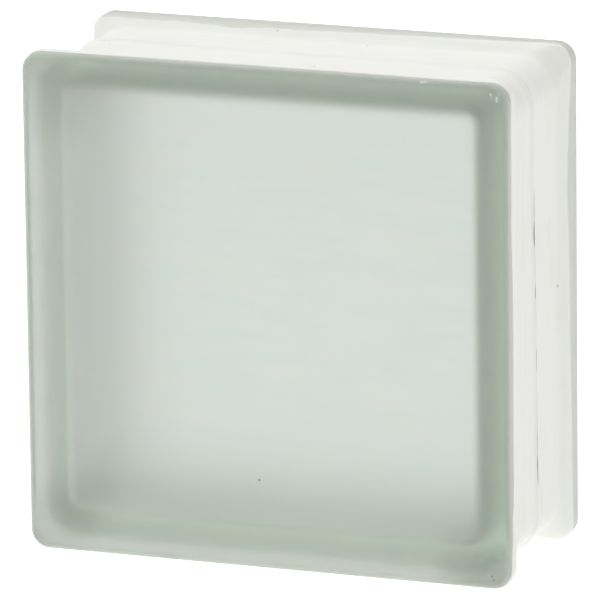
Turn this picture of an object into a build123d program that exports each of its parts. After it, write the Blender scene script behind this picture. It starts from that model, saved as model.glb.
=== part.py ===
"""Hollow satin glass block, standing on its edge. Millimetres, +Z up, front face towards -Y.

The origin is on the floor, under the middle of the block. The block is two pressed glass dishes
that were fused rim to rim, and a thin white coating in the mortar channel round its edge.
"""
from build123d import *
import os

# Block as it is sold: face width and height, and depth from face to face
block_width = 190.0
block_height = 190.0
block_depth = 80.0

# Flange round each face, with a rounded face edge
flange_thickness = 7.0
flange_corner_radius = 7.0
face_edge_radius = 2.0

# Mortar channel between the flanges, with a soft shoulder down from each flange
channel_depth = 3.6
channel_corner_radius = 14.0
shoulder_length = 9.0
shoulder_crest_radius = 3.0

# Bead of glass squeezed out along the seam where the two halves are fused
bead_width = 5.0
bead_height = 0.6

# Walls round the sealed air space, which narrows towards the faces so that the plunger lets go
face_wall = 8.0
edge_wall = 8.5
cavity_corner_radius = 6.0
cavity_floor_radius = 3.0
cavity_draft_degrees = 2.0

# White coating: film thickness, and how far behind the flange it stops
coating_thickness = 0.25
coating_margin = 1.5

# Places that follow from the sizes above
half_depth = block_depth / 2
mid_height = block_height / 2
flange_back = half_depth - flange_thickness
shoulder_foot = flange_back - shoulder_length
coating_reach = flange_back - coating_margin
cavity_half_depth = half_depth - face_wall


def ring(depth, inset, corner_radius):
    """Rounded rectangle across the block at a depth behind its middle, set in from the face outline."""
    place = Plane(origin=(0, depth, mid_height), x_dir=(1, 0, 0), z_dir=(0, 1, 0))
    return place * RectangleRounded(block_width - 2 * inset, block_height - 2 * inset, corner_radius)


def edges_at(solid, depth):
    """The edges of a solid that lie in the plane at this depth."""
    return solid.edges().filter_by_position(Axis.Y, depth, depth)


def both_halves(back_half):
    """The back half fused to its mirror image in front of the seam."""
    return back_half + mirror(back_half, about=Plane.XZ)


def dish_half(grow=0):
    """Back half without its hollow: flange, soft shoulder and channel floor, grown outwards alike."""
    outline = ring(flange_back, -grow, flange_corner_radius + grow)
    floor = ring(shoulder_foot, channel_depth - grow, channel_corner_radius + grow)
    plate = extrude(outline, flange_thickness)
    shoulder = loft([outline, floor], ruled=True)
    channel = extrude(floor, -shoulder_foot)
    half = plate + shoulder + channel
    half = fillet(edges_at(half, half_depth), face_edge_radius)
    return fillet(edges_at(half, flange_back), shoulder_crest_radius)


def seam_bead(grow=0):
    """Low rounded bead carried round the block on the channel floor, over the seam."""
    floor = ring(0, channel_depth, channel_corner_radius)
    floor_top = block_height - channel_depth
    half_width = bead_width / 2 + grow
    crest = floor_top + bead_height + grow
    root = floor_top - bead_height
    left = (0, -half_width, floor_top)
    right = (0, half_width, floor_top)
    left_root = (0, -half_width, root)
    right_root = (0, half_width, root)
    outline = ThreePointArc(left, (0, 0, crest), right) + Polyline(right, right_root, left_root, left)
    return sweep(make_face(outline), path=floor.wire())


def outer_form(grow=0):
    """The whole block as if it were solid glass, grown outwards by a film thickness."""
    return both_halves(dish_half(grow)) + seam_bead(grow)


def air_space():
    """Sealed hollow: drafted towards each face, with a round corner where the face begins."""
    mouth = ring(0, channel_depth + edge_wall, cavity_corner_radius)
    block = extrude(mouth, cavity_half_depth)
    sides = block.faces() - block.faces().filter_by(Axis.Y)
    seam_plane = Plane(mouth.faces()[0])
    half = draft(sides, seam_plane, cavity_draft_degrees)
    return both_halves(fillet(edges_at(half, cavity_half_depth), cavity_floor_radius))


def glass_body():
    """One piece of glass: the two fused halves round their air space."""
    return outer_form() - air_space()


def edge_coating():
    """Film that lies on the channel floor, the bead and most of both shoulders."""
    band = extrude(ring(-coating_reach, 0, flange_corner_radius), 2 * coating_reach)
    return (outer_form(coating_thickness) & band) - outer_form()


os.makedirs("parts", exist_ok=True)
for name, shape in {"glass_body": glass_body(), "edge_coating": edge_coating()}.items():
    export_step(shape, f"parts/{name}.step")
    print(name, len(shape.solids()), "solid", round(shape.volume), "mm3")
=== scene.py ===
# %% [markdown]
# This lesson dresses a hollow glass building block for a product picture. The real block is two pressed
# glass dishes that were fused rim to rim while hot. Its outside is etched to a satin finish, and a white
# latex film is brushed on the edge, where mortar will grip it later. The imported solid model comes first:
# it fixes the size and place of both pieces, and everything below is measured from it.

import bpy
import numpy as np
from mathutils import Matrix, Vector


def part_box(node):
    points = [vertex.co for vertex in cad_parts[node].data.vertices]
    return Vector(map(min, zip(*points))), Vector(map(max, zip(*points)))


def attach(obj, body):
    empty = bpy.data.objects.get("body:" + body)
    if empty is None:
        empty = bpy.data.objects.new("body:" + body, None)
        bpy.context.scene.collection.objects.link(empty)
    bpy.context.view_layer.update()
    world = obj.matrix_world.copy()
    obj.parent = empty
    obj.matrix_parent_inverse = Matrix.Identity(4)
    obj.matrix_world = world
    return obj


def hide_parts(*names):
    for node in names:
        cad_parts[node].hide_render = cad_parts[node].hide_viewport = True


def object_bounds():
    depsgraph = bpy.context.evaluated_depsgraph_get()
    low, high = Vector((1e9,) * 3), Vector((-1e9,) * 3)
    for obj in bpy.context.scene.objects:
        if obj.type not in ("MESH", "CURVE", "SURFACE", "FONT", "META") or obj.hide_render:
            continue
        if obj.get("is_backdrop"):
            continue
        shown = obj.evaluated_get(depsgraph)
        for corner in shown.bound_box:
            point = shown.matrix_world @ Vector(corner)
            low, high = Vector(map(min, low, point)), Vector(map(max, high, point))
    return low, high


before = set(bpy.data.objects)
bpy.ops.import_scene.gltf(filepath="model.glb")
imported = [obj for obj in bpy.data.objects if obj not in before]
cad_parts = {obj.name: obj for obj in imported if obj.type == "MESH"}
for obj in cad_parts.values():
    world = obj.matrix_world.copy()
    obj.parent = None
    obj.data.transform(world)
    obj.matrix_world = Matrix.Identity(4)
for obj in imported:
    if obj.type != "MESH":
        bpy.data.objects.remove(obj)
cad_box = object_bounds()
glass_low, glass_high = (np.array(corner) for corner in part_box("glass_body"))
half_width, half_depth, half_height = (glass_high - glass_low) / 2
middle = (glass_low + glass_high) / 2
MM = 0.001
print("glass body in mm:", ((glass_high - glass_low) / MM).round(1))

# %% [markdown]
# Every ring round this block is a rounded square: four straight sides and four quarter circles. It could
# be a bevelled curve, but then each ring would need its own object. Here a ring point is "the centre of
# the nearest corner, plus the corner radius times a direction". On a straight side the direction stays
# the same while the centre slides from one corner to the next. So two fixed tables, one of centre signs
# and one of directions, serve rings of every size, and a whole skin is one sum of arrays.

# %% Rounded square rings
CORNER_SIGNS = np.array([[1, 1], [-1, 1], [-1, -1], [1, -1]], float)


def square_ring(side_steps, corner_steps):
    """Centre signs and directions of a ring's points, counter-clockwise from the right side's top end.

    Each corner turns the direction through a quarter circle. The side after it keeps that direction
    while the corner centre slides to the next corner.
    """
    turn = np.linspace(0, np.pi / 2, corner_steps + 1)
    slide = np.linspace(0, 1, side_steps + 1)[1:-1, None]
    centres, directions = [], []
    for k, sign in enumerate(CORNER_SIGNS):
        angle = turn + k * np.pi / 2
        quarter = np.stack([np.cos(angle), np.sin(angle)], 1)
        directions += [quarter, np.repeat(quarter[-1:], side_steps - 1, 0)]
        centres += [np.repeat(sign[None], corner_steps + 1, 0),
                    sign + slide * (CORNER_SIGNS[(k + 1) % 4] - sign)]
    return np.concatenate(centres), np.concatenate(directions)


def rings(ring, depth, inset, radius):
    """Grid of points, one ring per row: corner centre plus radius times direction, at each depth.

    depth, inset and radius hold one value per row and point. A single column serves a whole row.
    """
    centres, directions = ring
    x = centres[:, 0] * (half_width - inset - radius) + directions[:, 0] * radius
    z = centres[:, 1] * (half_height - inset - radius) + directions[:, 1] * radius
    return np.stack([x, depth + 0 * x, z], -1) + middle


GLASS_RING = square_ring(side_steps=56, corner_steps=14)
FILM_RING = square_ring(side_steps=110, corner_steps=16)
print("ring of", len(GLASS_RING[0]), "points for the glass and", len(FILM_RING[0]), "for the film")

# %% [markdown]
# Brushed edges and the fused seam aren't straight: they wander as they go round. To say where, a place on
# the outline is its distance along it, counter-clockwise. Values chosen for a few places are joined up
# round the block, and a sum of sine waves with a whole number of turns adds the small wobble, so that
# every line closes on itself.

# %% Distance round the block
CHANNEL_DEPTH = 3.6 * MM
CHANNEL_RADIUS = 14.0 * MM
CORNER_RUN = CHANNEL_RADIUS * np.pi / 2
SIDE_NAMES = ("top", "left", "bottom", "right")
SIDE_RUNS = 2 * (np.array([half_width, half_height] * 2) - CHANNEL_DEPTH - CHANNEL_RADIUS)
PERIMETER = SIDE_RUNS.sum() + 4 * CORNER_RUN


def distance_round(ring):
    """Distance of each ring point along the channel floor: the running sum of the steps between them."""
    outline = rings(ring, np.zeros((1, 1)), np.full((1, 1), CHANNEL_DEPTH), CHANNEL_RADIUS)[0]
    steps = np.linalg.norm(np.diff(outline, axis=0), axis=1)
    return np.concatenate([[0.0], np.cumsum(steps)])


def place(side, spot):
    """Distance along the channel floor of a spot on a side, given by its x or z from the block's middle."""
    number = SIDE_NAMES.index(side)
    travel = -spot if side in ("top", "left") else spot
    return SIDE_RUNS[:number].sum() + (number + 1) * CORNER_RUN + SIDE_RUNS[number] / 2 + travel


def wander(distance, seed, waves, power):
    """Closed wavy line, at most 1 high: sines whose height falls as their number to a power."""
    draw = np.random.default_rng(seed)
    number = np.arange(1, waves + 1)[:, None]
    phase = draw.uniform(0, 2 * np.pi, (waves, 1))
    height = draw.normal(size=(waves, 1)) * number ** -power
    line = (height * np.sin(2 * np.pi * number * distance / PERIMETER + phase)).sum(0)
    return line / np.abs(line).max()


glass_way = distance_round(GLASS_RING)
film_way = distance_round(FILM_RING)
print("way round the channel:", round(PERIMETER / MM, 1), "mm")

# %% [markdown]
# The seam is where the two dishes met. The hot glass squeezed out there as a low bead, which drifts a few
# millimetres from the middle as it goes round. The list gives its depth at places on the four sides.

# %% Seam line
SEAM_STATIONS_MM = (
    ("top", 80, -1.0), ("top", 66, -0.8), ("top", 52, 0.9), ("top", 39, 1.8), ("top", 22, 1.6),
    ("top", 0, 0.6), ("top", -49, 1.6), ("top", -72, 3.0),
    ("left", 40, 0.4), ("left", -50, 0.6), ("bottom", -60, 0.5), ("bottom", 50, 0.8),
    ("right", -75, 1.4), ("right", -55, 0.2), ("right", -30, -0.1), ("right", 8, -1.2),
    ("right", 30, -2.3), ("right", 80, -2.6),
)
SEAM_WOBBLE = 0.25 * MM


def round_values(distance, stations):
    """Values joined up round the block: straight between stations of side, spot and value in mm."""
    at = [place(side, spot * MM) for side, spot, value in stations]
    values = [value * MM for side, spot, value in stations]
    return np.interp(distance, at, values, period=PERIMETER)


def seam_line(distance):
    """Depth of the bead's crest: the stations plus a small wobble."""
    wobble = wander(distance, seed=11, waves=40, power=0.8)
    return round_values(distance, SEAM_STATIONS_MM) + SEAM_WOBBLE * wobble


glass_seam = seam_line(glass_way)
film_seam = seam_line(film_way)
print("seam drifts from", (film_seam.min() / MM).round(1), "to", (film_seam.max() / MM).round(1), "mm")

# %% [markdown]
# The section of the outside is one function of depth: a round edge at each face, a level flange, a soft
# shoulder down into the mortar channel, the channel floor and the bead on the seam. Written as a formula it
# serves two pieces, the glass itself and the film that lies on it, so they can't drift apart.

# %% Section of the outside
FLANGE_THICKNESS = 7.0 * MM
FLANGE_RADIUS = 7.0 * MM
EDGE_RADIUS = 2.0 * MM
SHOULDER_LENGTH = 9.0 * MM
BEAD_WIDTH = 5.0 * MM
BEAD_HEIGHT = 0.6 * MM


def soft_step(share):
    """Smooth rise from 0 to 1 with level ends: three squares less two cubes."""
    share = np.clip(share, 0, 1)
    return share * share * (3 - 2 * share)


def shoulder(depth):
    """0 on the flange and 1 on the channel floor, with a soft step between."""
    return soft_step((half_depth - FLANGE_THICKNESS - np.abs(depth)) / SHOULDER_LENGTH)


def edge_fall(depth):
    """How far the round face edge falls in from the flange: radius less the height of a quarter circle."""
    over = np.clip(np.abs(depth) - (half_depth - EDGE_RADIUS), 0, EDGE_RADIUS)
    return EDGE_RADIUS - np.sqrt(EDGE_RADIUS ** 2 - over ** 2)


def outside_inset(depth, seam):
    """How far the outside lies in from the flange: edge fall plus channel less a cosine bead."""
    bead = np.cos(np.pi * np.clip((depth - seam) / BEAD_WIDTH, -0.5, 0.5)) ** 2
    return edge_fall(depth) + CHANNEL_DEPTH * shoulder(depth) - BEAD_HEIGHT * bead


def outside_radius(depth):
    """Corner radius of the outside: larger on the channel floor, and less by the edge fall at a face."""
    return FLANGE_RADIUS + (CHANNEL_RADIUS - FLANGE_RADIUS) * shoulder(depth) - edge_fall(depth)


floor_inset = float(outside_inset(half_depth / 4, 0.0))
print("channel floor lies", round(floor_inset / MM, 2), "mm in from the flange")

# %% [markdown]
# The skin of the glass starts in the middle of the front face, runs out over the round edge, along the side
# to the seam and on to the middle of the back. It is a grid of rings, closest together on the edges and the
# bead. The small hole at each middle is closed by a fan of triangles.

# %% Rings of the outside
FACE_RINGS = 23
EDGE_RINGS = 12
CHANNEL_RINGS = 36
SEAM_RINGS = 29
SEAM_REACH = 6.5 * MM
FACE_START_SHARE = 0.02


def outside_rings():
    """Depth, inset and radius of every ring from the front face's middle to the back face's middle."""
    share = np.linspace(FACE_START_SHARE, 1, FACE_RINGS + 1)[:-1, None]
    face = (-half_depth + 0 * share, half_width - (half_width - EDGE_RADIUS) * share,
            (FLANGE_RADIUS - EDGE_RADIUS) * share)
    turn = np.linspace(0, np.pi / 2, EDGE_RINGS + 1)
    edge = -half_depth + EDGE_RADIUS * (1 - np.cos(turn))
    channel = np.linspace(edge[-1], -SEAM_REACH, CHANNEL_RINGS + 1)[1:]
    front = np.concatenate([edge, channel])
    seam_part = np.linspace(-SEAM_REACH, SEAM_REACH, SEAM_RINGS)[1:-1]
    depth = np.concatenate([front, seam_part, -front[::-1]])[:, None]
    side = (depth, outside_inset(depth, glass_seam), outside_radius(depth))
    back = (-face[0][::-1], face[1][::-1], face[2][::-1])
    parts = []
    for part in (face, side, back):
        size = (len(part[0]), len(glass_way))
        parts.append([np.broadcast_to(values, size) for values in part])
    return [np.concatenate(column) for column in zip(*parts)]


outer_grid = rings(GLASS_RING, *outside_rings())
print("outside skin:", outer_grid.shape[0], "rings")

# %% [markdown]
# The hollow is the shape of the plunger that pressed each dish: side walls that lean by a small draft, a
# flat floor and a round corner between them. Its two halves are mirror images, so the second half is the
# first one turned round. Behind the satin skin it shows as the broad green border of the face. The border
# is a little narrower at the top than at the bottom, so the plunger, and with it the hollow, sat high.

# %% Rings of the hollow
FACE_WALL = 8.0 * MM
EDGE_WALL = 8.5 * MM
CAVITY_RADIUS = 6.0 * MM
CAVITY_FLOOR_RADIUS = 3.0 * MM
CAVITY_DRAFT = np.radians(2.0)
CAVITY_RISE = np.array([0, 0, 1.5 * MM])
FLOOR_RINGS = 19
ROUND_RINGS = 14
WALL_RINGS = 15


def hollow_rings():
    """Depth, inset and radius of the hollow's rings: floor, quarter round, leaning wall, mirror image."""
    floor = -(half_depth - FACE_WALL)
    mouth = CHANNEL_DEPTH + EDGE_WALL
    lean = np.tan(CAVITY_DRAFT)
    turn = np.linspace(0, np.pi / 2 - CAVITY_DRAFT, ROUND_RINGS + 1)
    round_depth = floor + CAVITY_FLOOR_RADIUS * (1 - np.cos(turn))
    wall_depth = np.linspace(round_depth[-1], 0, WALL_RINGS + 1)[1:]
    round_inset = mouth - lean * round_depth[-1] + CAVITY_FLOOR_RADIUS * (np.sin(turn[-1]) - np.sin(turn))
    share = np.linspace(FACE_START_SHARE, 1, FLOOR_RINGS + 1)[:-1]
    depth = np.concatenate([floor + 0 * share, round_depth, wall_depth])
    inset = np.concatenate([half_width - (half_width - round_inset[0]) * share, round_inset,
                            mouth - lean * wall_depth])
    radius = CAVITY_RADIUS + mouth - inset
    radius[:FLOOR_RINGS] = radius[FLOOR_RINGS] * share
    front = np.stack([depth, inset, radius])
    return np.concatenate([front, front[:, -2::-1] * [[-1], [1], [1]]], 1)[..., None]


hollow_grid = rings(GLASS_RING, *hollow_rings()) + CAVITY_RISE
print("hollow skin:", hollow_grid.shape[0], "rings")

# %% [markdown]
# Outside and hollow become one mesh, because they bound one piece of glass. The hollow's faces are turned
# round, so that both skins look away from the glass. Light is traced through the wall between them, and
# that only works when every face agrees on which side the glass is.

# %% Glass piece


def skin_faces(grid, first):
    """Quads between neighbouring rings, and the two fans that close the ends, as point numbers."""
    rows, points = grid.shape[:2]
    number = first + np.arange(rows * points).reshape(rows, points)
    ahead = np.roll(number, -1, 1)
    quads = np.stack([number[:-1], number[1:], ahead[1:], ahead[:-1]], -1).reshape(-1, 4)
    front = np.full(points, first + rows * points)
    fans = [np.stack([number[0], ahead[0], front], 1), np.stack([ahead[-1], number[-1], front + 1], 1)]
    return quads, np.concatenate(fans)


def skin_points(grid):
    """All ring points, then the middle points of the first and the last ring."""
    return np.concatenate([grid.reshape(-1, 3), grid[[0, -1]].mean(1)])


def add_piece(name, points, faces, node):
    """Smooth mesh object at the origin that rides on the root body and stands for a node of the frame."""
    mesh = bpy.data.meshes.new(name)
    mesh.from_pydata(points.tolist(), [], [corner for block in faces for corner in block.tolist()])
    mesh.shade_smooth()
    piece = bpy.data.objects.new(name, mesh)
    bpy.context.collection.objects.link(piece)
    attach(piece, "root")
    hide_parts(node)
    mesh.calc_loop_triangles()
    print(name, "has", len(mesh.vertices), "points and", len(mesh.loop_triangles), "triangles")
    return piece


def add_values(piece, name, values):
    """One number per point, which the finishes read by its name."""
    layer = piece.data.attributes.new(name, "FLOAT", "POINT")
    layer.data.foreach_set("value", np.asarray(values, np.float32).ravel())


outer_points = skin_points(outer_grid)
hollow_points = skin_points(hollow_grid)
outer_quads, outer_fans = skin_faces(outer_grid, 0)
hollow_quads, hollow_fans = skin_faces(hollow_grid, len(outer_points))
glass = add_piece("satin_glass_block", np.concatenate([outer_points, hollow_points]),
                  [outer_quads, outer_fans, hollow_quads[:, ::-1], hollow_fans[:, ::-1]],
                  "glass_body")
add_values(glass, "satin", np.concatenate([np.ones(len(outer_points)), np.zeros(len(hollow_points))]))

# %% [markdown]
# The acid bites deepest on the edges. The round edge of a face is a paler green than the face, and the
# bare strip behind it is a dull grey. It could be a material of its own, but then the border between the
# two would be hard. So one number per point says how dull the etching is: it rises to a part on the first
# turn of the round edge, and to 1 behind it. At the front the grey fades out towards the lower left.

# %% Dull etching of the edges
EDGE_DULL = 0.6
FIRST_TURN = 0.4
STRIP_START = 0.25
STRIP_RISE = 0.45
GREY_ON_DIAGONAL = 0.5

turn_share = np.sqrt(np.clip((half_depth - np.abs(outer_points[:, 1])) / EDGE_RADIUS, 0, 1))
edge_dull = EDGE_DULL * soft_step(turn_share / FIRST_TURN)
strip_dull = (1 - EDGE_DULL) * soft_step((turn_share ** 2 - STRIP_START) / STRIP_RISE)
off_diagonal = (outer_points[:, 0] + outer_points[:, 2] - middle[2]) / half_width
upper_right = soft_step(GREY_ON_DIAGONAL + off_diagonal)
dullness = edge_dull + strip_dull * np.where(outer_points[:, 1] > 0, 1.0, upper_right)
add_values(glass, "dull", np.concatenate([dullness, np.zeros(len(hollow_points))]))
print("dull etching on", round(100 * float((dullness > EDGE_DULL).mean()), 1), "% of the outside's points")

# %% [markdown]
# The white film was put on by hand with a broad brush that ran round the edge. It starts a few millimetres
# behind the front face, further back on the left, and mostly ends seven to eleven short of the back. Bare
# satin glass shows there as a grey strip. Each station gives a place, the bare strip at the front, the bare
# strip at the back, how ragged the back edge is, and how thick the film lies. It is thickest at the top
# right corner and thin on the left and the bottom.

# %% Edges of the film
FILM_STATIONS_MM = (
    ("top", 84, 2.9, 7.1, 0.5, 0.45), ("top", 70, 2.7, 7.5, 0.5, 0.28),
    ("top", 54, 2.9, 8.4, 0.5, 0.27), ("top", 40, 3.3, 8.7, 0.6, 0.27),
    ("top", 24, 3.5, 8.8, 0.6, 0.27), ("top", 12, 3.6, 9.1, 0.6, 0.27),
    ("top", -2, 3.7, 9.7, 0.7, 0.27), ("top", -21, 3.7, 10.1, 0.7, 0.27),
    ("top", -26, 3.7, 10.2, 0.7, 0.27), ("top", -32, 3.7, 10.9, 0.7, 0.27),
    ("top", -38, 3.7, 10.6, 0.8, 0.27), ("top", -44, 3.7, 10.4, 0.8, 0.27),
    ("top", -54, 3.7, 9.7, 0.8, 0.27), ("top", -68, 3.5, 9.8, 0.7, 0.27),
    ("top", -84, 3.0, 9.5, 0.5, 0.26), ("left", 84, 3.2, 3.0, 0.4, 0.20),
    ("left", 76, 3.8, 3.2, 0.5, 0.14), ("left", 55, 8.6, 5.5, 0.6, 0.04),
    ("left", 15, 8.6, 8.4, 1.0, 0.04), ("left", -66, 8.6, 9.0, 0.9, 0.04),
    ("left", -80, 4.0, 9.2, 0.9, 0.12), ("bottom", -80, 4.0, 9.5, 0.9, 0.12),
    ("bottom", -66, 3.8, 9.5, 0.9, 0.06), ("bottom", 25, 3.8, 9.8, 1.0, 0.06),
    ("bottom", 58, 3.8, 9.0, 0.6, 0.07), ("bottom", 80, 2.4, 7.0, 0.6, 0.34),
    ("right", -84, 2.2, 7.0, 0.3, 0.27), ("right", -76, 2.6, 7.0, 0.3, 0.27),
    ("right", -66, 3.8, 7.4, 0.3, 0.27), ("right", -59, 3.6, 7.6, 0.3, 0.27),
    ("right", -56, 4.8, 7.7, 0.3, 0.27), ("right", -30, 4.8, 8.3, 0.3, 0.27),
    ("right", 4, 5.0, 8.9, 0.3, 0.27), ("right", 17, 4.9, 9.2, 0.3, 0.27),
    ("right", 26, 4.3, 9.4, 0.3, 0.27), ("right", 37, 3.7, 10.0, 0.35, 0.27),
    ("right", 60, 3.8, 9.2, 0.4, 0.28), ("right", 82, 3.9, 7.6, 0.7, 0.45),
)
# Columns of the stations after side and spot
FRONT_STRIP, BACK_STRIP, BACK_RAG, FILM_THICKNESS = 2, 3, 4, 5
FRONT_RAG = 0.3 * MM


def film_column(column):
    """One column of the stations, joined up round the block."""
    return round_values(film_way, [(row[0], row[1], row[column]) for row in FILM_STATIONS_MM])


front_rag = FRONT_RAG * wander(film_way, seed=3, waves=170, power=0.5)
back_rag = film_column(BACK_RAG) * wander(film_way, seed=5, waves=170, power=0.6)
front_edge = -half_depth + film_column(FRONT_STRIP) + front_rag
back_edge = half_depth - film_column(BACK_STRIP) + back_rag
film_width = (back_edge - front_edge) / MM
print("film is", film_width.min().round(1), "to", film_width.max().round(1), "mm wide")

# %% [markdown]
# Where the film lies over the bead, it broke as it dried, just behind the bead's crest. The crack is hair
# fine all round, and gapes in a few places. It is cut into the film as a narrow groove, and the same
# numbers are kept on the points, so that the finish can paint the groove's floor dark: painted shade in the
# gap, over the bare glass that shows there. Each station gives a place, half the length of the gap and how
# far it gapes.

# %% Rows of the film and its crack
FLANK_ROWS = 34
SEAM_ROWS = 40
SEAM_BAND = 4.0 * MM
HAIR_HALF_WIDTH = 0.35 * MM
GAPE_HALF_WIDTH = 0.9 * MM
BEHIND_CREST = 0.3 * MM
HAIR_OPENING = 0.08
CRACK_UNEVEN = 0.2
CRACK_STATIONS_MM = (
    ("right", 30.5, 5.0, 1.0), ("right", 41, 7.0, 0.45), ("right", 18, 9.0, 0.25), ("right", 8.5, 3.0, 0.7),
    ("right", 0, 7.0, 0.3), ("right", -17, 4.0, 0.5), ("right", -35, 14, 0.25), ("right", -48, 5.0, 0.45),
    ("right", -58.5, 6.0, 0.8), ("top", -60, 16, 0.2), ("left", 20, 9.0, 0.7), ("left", -40, 6.0, 0.6),
    ("bottom", 0, 18, 0.5),
)


def film_rows():
    """Depth of the film's rows: even from each edge to the seam band, and close together inside it."""
    flank = np.linspace(0, 1, FLANK_ROWS + 1)[:-1, None]
    band = np.linspace(-SEAM_BAND, SEAM_BAND, SEAM_ROWS)[:, None]
    front = front_edge + (film_seam - SEAM_BAND - front_edge) * flank
    back = back_edge + (film_seam + SEAM_BAND - back_edge) * flank
    return np.concatenate([front, film_seam + band, back[::-1]])


def crack_opening():
    """How wide the crack gapes, 0 to 1: the largest of a hair line all round and a bump at each station."""
    opening = HAIR_OPENING * (1 + wander(film_way, seed=21, waves=120, power=0.3))
    for side, spot, length, height in CRACK_STATIONS_MM:
        apart = film_way - place(side, spot * MM)
        opening = np.maximum(opening, height * np.exp(-(apart / (length * MM)) ** 4))
    uneven = CRACK_UNEVEN * wander(film_way, seed=22, waves=200, power=0.1)
    return opening * (1 - CRACK_UNEVEN + uneven)


def crack_values(depth):
    """The crack at every film point: a bell just behind the bead's crest, wider where it gapes."""
    opening = crack_opening()
    half_gap = HAIR_HALF_WIDTH + (GAPE_HALF_WIDTH - HAIR_HALF_WIDTH) * opening
    return opening * np.exp(-((depth - film_seam - BEHIND_CREST) / half_gap) ** 2)


film_depth = film_rows()
crack = crack_values(film_depth)
print("film has", len(film_depth), "rows, the crack opens up to", crack.max().round(2))

# %% [markdown]
# The film thins out at its edges and carries the fine ridges that bristles leave, all along its length.
# The ridges are sine waves across the film whose phase wanders as they run. The inner face of the
# film is sunk a little into the glass: wet paint leaves no air between them, and without air the glass
# shows the white of the film and doesn't mirror it. Where the block stands on the film, it is pressed flat.

# %% Film piece
FEATHER = 0.8 * MM
LEAST_SHARE = 0.2
SUNK = 0.06 * MM
RIDGE_HEIGHT = 0.03 * MM
RIDGE_SPACINGS = np.array([2.1, 3.4, 5.9]) * MM
RIDGE_SHIFT = 3.0
GROOVE_SHARE = 0.8
INNER_SEAM_STEP = 6


def bristle_ridges(depth):
    """Mean of three sine waves across the film, each shifted by its own slow wander along it."""
    waves = []
    for k, spacing in enumerate(RIDGE_SPACINGS):
        shift = RIDGE_SHIFT * wander(film_way, seed=31 + k, waves=30, power=0.7)
        waves.append(np.sin(2 * np.pi * depth / spacing + shift))
    return np.mean(waves, 0)


edge_distance = np.minimum(film_depth - front_edge, back_edge - film_depth)
feather = np.sqrt(np.clip(edge_distance / FEATHER, LEAST_SHARE, 1))
film_thickness = film_column(FILM_THICKNESS)
thickness = (film_thickness + RIDGE_HEIGHT * bristle_ridges(film_depth)) * feather
film_floor = outside_inset(film_depth, film_seam)
film_radius = outside_radius(film_depth)
film_top = film_floor - thickness * (1 - GROOVE_SHARE * crack)
film_outer = rings(FILM_RING, film_depth, film_top, film_radius)
film_outer[..., 2] = np.maximum(film_outer[..., 2], glass_low[2])
film_inner = rings(FILM_RING, film_depth, film_floor + SUNK, film_radius)
row_count = len(film_depth)
back_start = row_count - FLANK_ROWS
inner_rows = np.r_[0:FLANK_ROWS, FLANK_ROWS:back_start:INNER_SEAM_STEP, back_start:row_count]
film_grid = np.concatenate([film_outer, film_inner[inner_rows][::-1]])
number = np.arange(film_grid[..., 0].size).reshape(film_grid.shape[:2])
ahead = np.roll(number, -1, 1)
film_quads = np.stack([number, np.roll(number, -1, 0), np.roll(ahead, -1, 0), ahead], -1).reshape(-1, 4)
film = add_piece("white_edge_coating", film_grid.reshape(-1, 3), [film_quads],
                 "edge_coating")

# %% [markdown]
# Some places of the film are stained: faint pinkish patches, drawn out along the brush's way. They are soft
# bells on the grid of distance and depth. Each station gives a place, the depth, half the length along the
# brush's way, half the width across it, and the strength. A second number greys the film: at its feathered
# edges, where the glass under the thin film shows, and on the left and the bottom, where the grey is also
# painted shade.

# %% Stains, and thin places with painted shade
STAIN_STATIONS_MM = (
    ("right", 39, 0.3, 3.0, 0.8, 1.0), ("right", 32, -12.5, 13, 2.6, 0.75),
    ("right", 27, 16.2, 6, 2.8, 0.7), ("right", 13, 19.0, 7, 2.6, 0.75),
    ("right", -8, 25.0, 5, 2.2, 0.6), ("right", -10, -10.5, 9, 1.6, 0.45),
    ("right", -69, -14.9, 5, 1.2, 1.0), ("right", -75, -14.0, 4, 1.1, 1.0),
    ("right", -81, -19.0, 3, 1.2, 0.8), ("right", -75, 6.3, 9, 1.6, 0.8),
    ("right", 84, 8.2, 4, 1.0, 0.9), ("top", 59, 27.0, 6, 1.5, 0.6),
    ("top", -41, 20.5, 7, 1.3, 0.5), ("top", -23, 20.7, 5, 1.2, 0.5),
    ("left", 30, -8.0, 14, 2.4, 0.7), ("left", -40, 12.0, 18, 2.0, 0.6),
    ("bottom", 10, -5.0, 22, 2.5, 0.6),
)
STAIN_SHOWS = 0.3
OPAQUE_THICKNESS = 0.26 * MM
# Share of grey on the sheer film of the left and the bottom: painted shade as well as glass showing through
PAINTED_SHADE_ON_SHEER = 0.7


def stain_values(depth):
    """Strength of the stains at every film point: the largest of the stations' bells."""
    stain = np.zeros_like(depth)
    for side, spot, at, length, width, strength in STAIN_STATIONS_MM:
        apart = (film_way - place(side, spot * MM)) / (length * MM)
        across = (depth - at * MM) / (width * MM)
        stain = np.maximum(stain, strength * np.exp(-apart ** 4 - across ** 2))
    return stain


bare_inner = np.zeros((len(inner_rows), len(film_way)))
stain = stain_values(film_depth)
sheer = np.clip(1 - film_thickness / OPAQUE_THICKNESS, 0, 1)
thin_and_shade = np.maximum(1 - feather, PAINTED_SHADE_ON_SHEER * sheer)
for value_name, values in (("crack", crack), ("thin_and_shade", thin_and_shade), ("stain", stain)):
    add_values(film, value_name, np.concatenate([values, bare_inner]))
print("stains cover", round(100 * float((stain > STAIN_SHOWS).mean()), 1), "% of the film's points")

# %% [markdown]
# Finishes are node trees. One function turns an sRGB hex colour to the linear values that shaders need, and
# one adds a node with its settings and links, so that each finish reads as a short list. Sockets are found
# by their identifier, because a Mix node has several sockets with the same name.

# %% Colours and nodes


def linear(code):
    """Linear colour of an sRGB hex value: a power curve with a straight start."""
    value = np.array([int(code[i:i + 2], 16) for i in (0, 2, 4)]) / 255
    return (*np.where(value <= 0.04045, value / 12.92, ((value + 0.055) / 1.055) ** 2.4), 1.0)


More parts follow.
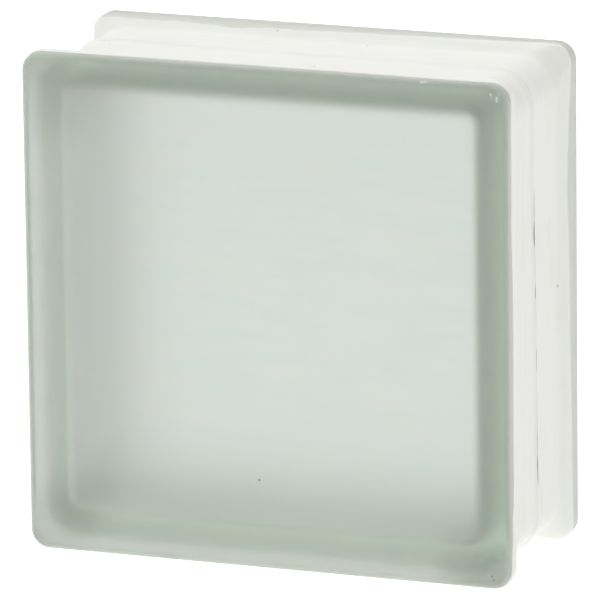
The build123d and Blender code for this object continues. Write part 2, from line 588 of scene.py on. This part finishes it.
def add_node(tree, kind, settings=(), links=()):
    """A node of this kind. Settings are properties or input values, links go from an output to an input."""
    node = tree.nodes.new(kind)
    for name, value in dict(settings).items():
        if hasattr(node, name):
            setattr(node, name, value)
        else:
            next(s for s in node.inputs if s.identifier == name).default_value = value
    for name, output in dict(links).items():
        tree.links.new(output, next(s for s in node.inputs if s.identifier == name))
    return node


def new_finish(name):
    """An empty material, and its node tree."""
    material = bpy.data.materials.new(name)
    material.use_nodes = True
    material.node_tree.nodes.clear()
    return material, material.node_tree


def blend(tree, share, under, over):
    """Output of a Mix node that lays the colour over on the colour under, by a share."""
    mixed = add_node(tree, "ShaderNodeMix", {"data_type": "RGBA", "B_Color": over},
                     {"Factor_Float": share, "A_Color": under})
    return next(s for s in mixed.outputs if s.identifier == "Result_Color")


def point_value(tree, name):
    """Output of an Attribute node that reads one of the piece's numbers by its name."""
    return add_node(tree, "ShaderNodeAttribute", {"attribute_name": name}).outputs["Fac"]


def spot_share(tree, where, spots):
    """Output that is 1 at each spot and falls to 0 at its radius: the largest of the distances' falls."""
    share = None
    for x, y, z, radius in spots:
        apart = add_node(tree, "ShaderNodeVectorMath", {"operation": "DISTANCE", "Vector_001": (x, y, z)},
                         {"Vector": where})
        fall = add_node(tree, "ShaderNodeMapRange", {"From Max": radius, "To Min": 1.0, "To Max": 0.0,
                                                     "interpolation_type": "SMOOTHSTEP"},
                        {"Value": apart.outputs["Value"]})
        links = {"Value": fall.outputs["Result"]} | ({"Value_001": share} if share else {})
        largest = add_node(tree, "ShaderNodeMath", {"operation": "MAXIMUM", "Value_001": 0.0}, links)
        share = largest.outputs["Value"]
    return share


print("linear value of a mid grey:", round(linear("808080")[0], 3))

# %% [markdown]
# The glass is pressed soda-lime glass. The outside was etched with acid: it lets light through but spreads
# it widely, and a small share of the light is thrown back as a pale veil. To the eye the veil is a little
# uneven, in faint level streaks of a cool and a creamy white. The streaks are a noise that is stretched
# sideways. Over them lie the paler green of the round edges and the grey of the bare strips.

# %% Tones of the satin glass
STREAK_SIZE = (34 * MM, 34 * MM, 6 * MM)
STREAK_DETAIL = 4.0
STREAK_FINENESS = 0.6
CREAM_START = 0.38
CREAM_FULL = 0.62
COOL_TONE = "EFF2F3"
CREAM_TONE = "F4F4F2"
EDGE_TONE = "D6DDD3"
STRIP_TONE = "D3D3CD"

satin_glass, tree = new_finish("satin_etched_soda_lime_glass")
where = add_node(tree, "ShaderNodeTexCoord").outputs["Object"]
stretched = add_node(tree, "ShaderNodeMapping", {"Scale": [1 / size for size in STREAK_SIZE]},
                     {"Vector": where})
streak = add_node(tree, "ShaderNodeTexNoise",
                  {"Scale": 1.0, "Detail": STREAK_DETAIL, "Roughness": STREAK_FINENESS},
                  {"Vector": stretched.outputs["Vector"]}).outputs["Fac"]
cream_share = add_node(tree, "ShaderNodeMapRange", {"From Min": CREAM_START, "From Max": CREAM_FULL},
                       {"Value": streak})
cool = add_node(tree, "ShaderNodeRGB")
cool.outputs[0].default_value = linear(COOL_TONE)
tone = blend(tree, cream_share.outputs["Result"], cool.outputs[0], linear(CREAM_TONE))
dull = point_value(tree, "dull")
edge_share = add_node(tree, "ShaderNodeMapRange", {"From Max": EDGE_DULL}, {"Value": dull})
strip_share = add_node(tree, "ShaderNodeMapRange", {"From Min": EDGE_DULL}, {"Value": dull})
tone = blend(tree, edge_share.outputs["Result"], tone, linear(EDGE_TONE))
tone = blend(tree, strip_share.outputs["Result"], tone, linear(STRIP_TONE))
print("tones of the satin glass take", len(tree.nodes), "nodes")

# %% [markdown]
# Roughness says how widely the light is spread, and the clear share how much of it passes. Both follow the
# numbers on the points. The etched outside is rougher than the hollow, which stays as the plunger left it,
# and the dull strips let less light through than the faces. Real etching grain is far below a tenth of a
# millimetre, so it is drawn coarser here to show at all.

# %% Roughness and grain of the satin glass
HOLLOW_ROUGHNESS = 0.38
SATIN_ROUGHNESS = 0.5
SATIN_UNEVEN = 0.04
SATIN_CLEAR_SHARE = 0.87
DULL_CLEAR_SHARE = 0.4
GRAIN_SIZE = 0.8 * MM
GRAIN_DETAIL = 2.0
GRAIN_HEIGHT = 0.01 * MM

satin = point_value(tree, "satin")
uneven = add_node(tree, "ShaderNodeMapRange",
                  {"To Min": SATIN_ROUGHNESS - SATIN_UNEVEN, "To Max": SATIN_ROUGHNESS + SATIN_UNEVEN},
                  {"Value": streak})
roughness = add_node(tree, "ShaderNodeMapRange", {"To Min": HOLLOW_ROUGHNESS},
                     {"Value": satin, "To Max": uneven.outputs["Result"]})
face_clear = add_node(tree, "ShaderNodeMapRange", {"To Min": 1.0, "To Max": SATIN_CLEAR_SHARE},
                      {"Value": satin})
clear = add_node(tree, "ShaderNodeMapRange", {"To Max": DULL_CLEAR_SHARE},
                 {"Value": dull, "To Min": face_clear.outputs["Result"]})
grain = add_node(tree, "ShaderNodeTexNoise", {"Scale": 1 / GRAIN_SIZE, "Detail": GRAIN_DETAIL},
                 {"Vector": where})
etched = add_node(tree, "ShaderNodeBump", {"Distance": GRAIN_HEIGHT},
                  {"Height": grain.outputs["Fac"], "Strength": satin})
print("satin glass so far has", len(tree.nodes), "nodes")

# %% [markdown]
# A few small marks break the even finish. Pale spots on the front's top right corner are painted glints,
# where the rounded corner would catch the light, and a short row of pale spots lies on its top edge. One
# dark speck of grit sits low on the face, and two brownish smudges on the lower right corner. They are
# spots round fixed points: each has a place, measured from the block's middle, and a radius.

# %% Painted glints, pale spots, specks and smudges
# The first four spots are painted glints on the rounded corner; the last four are a pale row on the top
# edge.
GLINTS_AND_SPOTS_MM = (
    (88.9, -40.0, 91.2, 0.8), (91.2, -39.9, 90.2, 0.8), (91.2, -39.9, 89.1, 0.7), (92.3, -39.8, 91.4, 0.5),
    (62.3, -39.6, 94.1, 1.0), (62.9, -39.6, 94.3, 1.0), (63.5, -39.6, 94.5, 1.0), (64.0, -39.6, 94.7, 0.9),
)
SPECKS_MM = ((-2.7, -40.0, -61.0, 0.7),)
SMUDGES_MM = ((88.2, -39.9, -90.1, 1.3), (88.9, -39.9, -91.3, 1.1))
# Pale tone of the painted glints and of the row on the top edge
GLINT_AND_SPOT_TONE = "D9E2DC"
SPECK_TONE = "5A5B54"
SMUDGE_TONE = "77746A"
MARK_CLEAR_SHARE = 0.05


def block_spots(spots_mm):
    """Spots measured from the block's middle, moved into the frame."""
    return [(*(np.array(spot[:3]) * MM + middle), spot[3] * MM) for spot in spots_mm]


glint_and_spot = spot_share(tree, where, block_spots(GLINTS_AND_SPOTS_MM))
speck = spot_share(tree, where, block_spots(SPECKS_MM))
smudge = spot_share(tree, where, block_spots(SMUDGES_MM))
# Lays the painted glints and pale spots, the smudges and the speck over the satin tone
for share, code in ((glint_and_spot, GLINT_AND_SPOT_TONE), (smudge, SMUDGE_TONE), (speck, SPECK_TONE)):
    tone = blend(tree, share, tone, linear(code))
grit = add_node(tree, "ShaderNodeMath", {"operation": "MAXIMUM"}, {"Value": smudge, "Value_001": speck})
marked = add_node(tree, "ShaderNodeMath", {"operation": "MAXIMUM"},
                  {"Value": glint_and_spot, "Value_001": grit.outputs["Value"]})
see_through = add_node(tree, "ShaderNodeMapRange", {"To Max": MARK_CLEAR_SHARE},
                       {"Value": marked.outputs["Value"], "To Min": clear.outputs["Result"]})
print("marks on the glass:", len(GLINTS_AND_SPOTS_MM) + len(SPECKS_MM) + len(SMUDGES_MM))

# %% [markdown]
# A little iron tints the glass green. The tint only shows where light runs through a lot of glass, round the
# border, so it is an absorption inside the volume and not a surface colour. Soda-lime glass has an IOR of
# about 1.52.

# %% Satin glass put together
GLASS_IOR = 1.52
TINT_TONE = "D2E5CE"
TINT_DENSITY = 20.0

skin = add_node(tree, "ShaderNodeBsdfPrincipled", {"IOR": GLASS_IOR},
                {"Base Color": tone, "Roughness": roughness.outputs["Result"],
                 "Transmission Weight": see_through.outputs["Result"], "Normal": etched.outputs["Normal"]})
tint = add_node(tree, "ShaderNodeVolumeAbsorption", {"Color": linear(TINT_TONE), "Density": TINT_DENSITY})
add_node(tree, "ShaderNodeOutputMaterial", {},
         {"Surface": skin.outputs["BSDF"], "Volume": tint.outputs["Volume"]})
glass.data.materials.append(satin_glass)
print("satin glass finish has", len(tree.nodes), "nodes")

# %% [markdown]
# The film is white latex paint, put on with a brush. To the eye it is a matt, faintly warm white with soft
# streaks along the brush's way and a few cloudy patches. The streaks are a noise that is much longer along
# the edge of the block than across it, and the clouds are a rounder one.

# %% White of the film
BRUSH_SIZE = (48 * MM, 1.7 * MM, 48 * MM)
BRUSH_DETAIL = 3.0
BRUSH_FINENESS = 0.55
BRUSH_STREAK_START = 0.66
BRUSH_STREAK_FULL = 0.3
CLOUD_SIZE = (22 * MM, 9 * MM, 22 * MM)
CLOUD_DETAIL = 3.0
CLOUD_START = 0.45
CLOUD_FULL = 0.75
CLOUD_SHARE = 0.6
WHITE_TONE = "E5E5E1"
BRUSH_STREAK_TONE = "E1E2DE"
CLOUD_TONE = "E1DFDA"

white_film, tree = new_finish("brushed_white_latex_film")
where = add_node(tree, "ShaderNodeTexCoord").outputs["Object"]
brush_way = add_node(tree, "ShaderNodeMapping", {"Scale": [1 / size for size in BRUSH_SIZE]},
                     {"Vector": where})
brushed = add_node(tree, "ShaderNodeTexNoise",
                   {"Scale": 1.0, "Detail": BRUSH_DETAIL, "Roughness": BRUSH_FINENESS},
                   {"Vector": brush_way.outputs["Vector"]}).outputs["Fac"]
cloud_way = add_node(tree, "ShaderNodeMapping", {"Scale": [1 / size for size in CLOUD_SIZE]},
                     {"Vector": where})
clouds = add_node(tree, "ShaderNodeTexNoise", {"Scale": 1.0, "Detail": CLOUD_DETAIL},
                  {"Vector": cloud_way.outputs["Vector"]})
streaks = add_node(tree, "ShaderNodeMapRange",
                   {"From Min": BRUSH_STREAK_START, "From Max": BRUSH_STREAK_FULL}, {"Value": brushed})
cloudy = add_node(tree, "ShaderNodeMapRange",
                  {"From Min": CLOUD_START, "From Max": CLOUD_FULL, "To Max": CLOUD_SHARE},
                  {"Value": clouds.outputs["Fac"]})
white = add_node(tree, "ShaderNodeRGB")
white.outputs[0].default_value = linear(WHITE_TONE)
colour = blend(tree, streaks.outputs["Result"], white.outputs[0], linear(BRUSH_STREAK_TONE))
colour = blend(tree, cloudy.outputs["Result"], colour, linear(CLOUD_TONE))
print("white of the film takes", len(tree.nodes), "nodes")

# %% [markdown]
# Over the streaky white lie the stains, the thin grey places, the cracks and the dust. On the left and the
# bottom the grey of the thin places is also painted shade, and the cracks are painted dark with shade. The
# first three are read from the points. Fine dust is a cell pattern of which only the very middle of some
# cells is kept. Larger marks of dust have their own places, measured from the block's middle, and a radius.

# %% Stains, thin grey with painted shade, painted crack shade and dust
STAIN_TONE = "E1DDD8"
# Grey of thin film, and painted shade on the left and the bottom
THIN_AND_SHADE_TONE = "D0D2CD"
# Painted shade in the crack's gap, over the bare glass
CRACK_SHADE_TONE = "3A3B36"
FULL_GAPE = 0.6
DUST_SPACING = 9 * MM
DUST_RIM = 0.05
DUST_CORE = 0.03
DUST_LEAST = 0.72
DUST_TONE = "A9A69E"
DUST_MARK_TONE = "85837A"
DUST_MARKS_MM = (
    (87.3, 26.4, 87.3, 0.8), (91.6, 25.3, 4.6, 0.9), (91.4, 15.0, 90.0, 0.6), (12.0, -16.6, 91.6, 0.7),
    (18.3, 23.1, 91.6, 0.6), (-90.2, 20.0, 86.0, 0.9), (-89.4, 17.6, 87.4, 0.8), (-88.8, 15.3, 88.2, 0.7),
)

gape = add_node(tree, "ShaderNodeMapRange", {"From Max": FULL_GAPE}, {"Value": point_value(tree, "crack")})
colour = blend(tree, point_value(tree, "stain"), colour, linear(STAIN_TONE))
# Grey of thin film and painted shade on the left and the bottom
colour = blend(tree, point_value(tree, "thin_and_shade"), colour, linear(THIN_AND_SHADE_TONE))
# Painted shade in the cracks
colour = blend(tree, gape.outputs["Result"], colour, linear(CRACK_SHADE_TONE))
cells = add_node(tree, "ShaderNodeTexVoronoi", {"Scale": 1 / DUST_SPACING}, {"Vector": where})
cell_number = add_node(tree, "ShaderNodeSeparateColor", {}, {"Color": cells.outputs["Color"]})
core = add_node(tree, "ShaderNodeMapRange", {"From Min": DUST_RIM, "From Max": DUST_CORE},
                {"Value": cells.outputs["Distance"]})
kept = add_node(tree, "ShaderNodeMath", {"operation": "GREATER_THAN", "Value_001": DUST_LEAST},
                {"Value": cell_number.outputs["Red"]})
dust = add_node(tree, "ShaderNodeMath", {"operation": "MULTIPLY"},
                {"Value": core.outputs["Result"], "Value_001": kept.outputs["Value"]})
dust_marks = spot_share(tree, where, block_spots(DUST_MARKS_MM))
colour = blend(tree, dust.outputs["Value"], colour, linear(DUST_TONE))
colour = blend(tree, dust_marks, colour, linear(DUST_MARK_TONE))
print("white film so far has", len(tree.nodes), "nodes")

# %% [markdown]
# The film is thin enough to let some light through, so light is also scattered inside it, but not in the
# cracks. Its relief is the sum of the brush marks and a fine peel, and it is a little glossier in some brush
# marks than in others.

# %% White film put together
PEEL_SIZE = 1.2 * MM
PEEL_DETAIL = 1.0
FILM_RELIEF = 0.035 * MM
FILM_ROUGHNESS = 0.55
FILM_UNEVEN = 0.1
SCATTER_LENGTH = 0.5 * MM

peel = add_node(tree, "ShaderNodeTexNoise", {"Scale": 1 / PEEL_SIZE, "Detail": PEEL_DETAIL},
                {"Vector": where})
relief = add_node(tree, "ShaderNodeMath", {"operation": "ADD"},
                  {"Value": brushed, "Value_001": peel.outputs["Fac"]})
brush_marks = add_node(tree, "ShaderNodeBump", {"Distance": FILM_RELIEF},
                       {"Height": relief.outputs["Value"]})
gloss = add_node(tree, "ShaderNodeMapRange",
                 {"To Min": FILM_ROUGHNESS - FILM_UNEVEN, "To Max": FILM_ROUGHNESS + FILM_UNEVEN},
                 {"Value": brushed})
unbroken = add_node(tree, "ShaderNodeMapRange", {"To Min": 1.0, "To Max": 0.0},
                    {"Value": gape.outputs["Result"]})
paint = add_node(tree, "ShaderNodeBsdfPrincipled",
                 {"Subsurface Radius": (1, 1, 1), "Subsurface Scale": SCATTER_LENGTH},
                 {"Base Color": colour, "Roughness": gloss.outputs["Result"],
                  "Subsurface Weight": unbroken.outputs["Result"], "Normal": brush_marks.outputs["Normal"]})
add_node(tree, "ShaderNodeOutputMaterial", {}, {"Surface": paint.outputs["BSDF"]})
film.data.materials.append(white_film)
print("white film finish has", len(tree.nodes), "nodes")

# %% [markdown]
# The block stands on a white table that glows from below, as a product table does, so it throws no hard
# shadow and light also enters it from beneath. The table is one large square.

# %% Table
TABLE_REACH = 6.0
TABLE_GLOW = 1.07
TABLE_ROUGHNESS = 0.9
TABLE_GREY = (0.2, 0.2, 0.2, 1)
WHITE_LIGHT = (1, 1, 1, 1)

corners = [(x * TABLE_REACH, y * TABLE_REACH, 0) for x, y in CORNER_SIGNS]
table_mesh = bpy.data.meshes.new("table")
table_mesh.from_pydata(corners, [], [(0, 1, 2, 3)])
table = bpy.data.objects.new("table", table_mesh)
bpy.context.collection.objects.link(table)
table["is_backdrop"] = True
table_finish, tree = new_finish("glowing_white_table")
table_skin = add_node(tree, "ShaderNodeBsdfPrincipled",
                      {"Base Color": TABLE_GREY, "Roughness": TABLE_ROUGHNESS,
                       "Emission Color": WHITE_LIGHT, "Emission Strength": TABLE_GLOW})
add_node(tree, "ShaderNodeOutputMaterial", {}, {"Surface": table_skin.outputs["BSDF"]})
table_mesh.materials.append(table_finish)
print("table", 2 * TABLE_REACH, "m wide")

# %% [markdown]
# Round the table is a soft white dome, brightest overhead, which makes the film's top a step lighter than
# its side. It is brighter towards the left and a little dimmer towards the front, so that the face shows the
# light that comes through it. Its strength is a sum of three ramps, one for each axis of the direction.

# %% Dome of light
HORIZON_LIGHT = 0.15
ZENITH_LIGHT = 1.46
LEFT_LIGHT = 0.5
FRONT_SHADE = 0.06

world = bpy.data.worlds.new("studio_dome")
bpy.context.scene.world = world
world.use_nodes = True
tree = world.node_tree
tree.nodes.clear()
looking = add_node(tree, "ShaderNodeTexCoord").outputs["Generated"]
direction = add_node(tree, "ShaderNodeSeparateXYZ", {}, {"Vector": looking})
upward = add_node(tree, "ShaderNodeMapRange", {"To Min": HORIZON_LIGHT, "To Max": ZENITH_LIGHT},
                  {"Value": direction.outputs["Z"]})
leftward = add_node(tree, "ShaderNodeMapRange", {"From Max": -1.0, "To Max": LEFT_LIGHT},
                    {"Value": direction.outputs["X"]})
frontward = add_node(tree, "ShaderNodeMapRange", {"From Max": -1.0, "To Max": -FRONT_SHADE},
                     {"Value": direction.outputs["Y"]})
sides = add_node(tree, "ShaderNodeMath", {"operation": "ADD"},
                 {"Value": leftward.outputs["Result"], "Value_001": frontward.outputs["Result"]})
total = add_node(tree, "ShaderNodeMath", {"operation": "ADD"},
                 {"Value": upward.outputs["Result"], "Value_001": sides.outputs["Value"]})
dome = add_node(tree, "ShaderNodeBackground", {"Color": WHITE_LIGHT}, {"Strength": total.outputs["Value"]})
add_node(tree, "ShaderNodeOutputWorld", {}, {"Surface": dome.outputs["Background"]})
print("dome from", HORIZON_LIGHT, "at the horizon to", ZENITH_LIGHT, "overhead")

# %% [markdown]
# Inside the glass, light bounces many times between the film and the satin skins before it comes out. The
# usual limits would cut it off and leave the border dark, so more bounces are allowed. A finer search tree
# makes each bounce quicker and changes nothing in the picture. The plain Standard view shows every tone as
# it was worked out.

# %% Light bounces
GLASS_BOUNCES = 32
SURFACE_BOUNCES = 12

cycles = bpy.context.scene.cycles
cycles.max_bounces = GLASS_BOUNCES
cycles.transmission_bounces = GLASS_BOUNCES
cycles.diffuse_bounces = SURFACE_BOUNCES
cycles.glossy_bounces = SURFACE_BOUNCES
cycles.debug_use_spatial_splits = True
bpy.context.scene.view_settings.view_transform = "Standard"
print("up to", cycles.max_bounces, "bounces")

# %% [markdown]
# The camera stands to the right of the block's front and a little above it, three metres away with a long
# lens, so the block's edges run almost parallel in the picture.

# %% Camera
AZIMUTH, ELEVATION, ROLL = np.radians([20.772, 14.222, 0.704])
DISTANCE = 3.0764
LENS_MM = 495.74
SENSOR_MM = 36
AIM_RIGHT = 0.862 * MM
AIM_DOWN = -1.727 * MM

forward = np.array([-np.sin(AZIMUTH) * np.cos(ELEVATION), np.cos(AZIMUTH) * np.cos(ELEVATION),
                    -np.sin(ELEVATION)])
level = np.cross(forward, [0, 0, 1])
level /= np.linalg.norm(level)
plumb = np.cross(forward, level)
right = np.cos(ROLL) * level + np.sin(ROLL) * plumb
down = np.cos(ROLL) * plumb - np.sin(ROLL) * level
stand = middle - forward * DISTANCE - right * AIM_RIGHT - down * AIM_DOWN
lens = bpy.data.cameras.new("camera")
lens.lens = LENS_MM
lens.sensor_width = SENSOR_MM
camera = bpy.data.objects.new("camera", lens)
turn_and_stand = np.column_stack([right, -down, -forward, stand])
camera.matrix_world = Matrix(np.vstack([turn_and_stand, [0, 0, 0, 1]]).tolist())
bpy.context.collection.objects.link(camera)
bpy.context.scene.camera = camera
print("camera stands at", stand.round(3))

# %% [markdown]
# Last, the largest change between the solid model's box and the dressed model's box is printed, to show
# whether dressing the block has changed its size.

# %% Sizes
visual_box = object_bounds()
box_change = np.abs(np.array(visual_box) - np.array(cad_box)).max()
print("largest change of the box:", (box_change / MM).round(3), "mm")
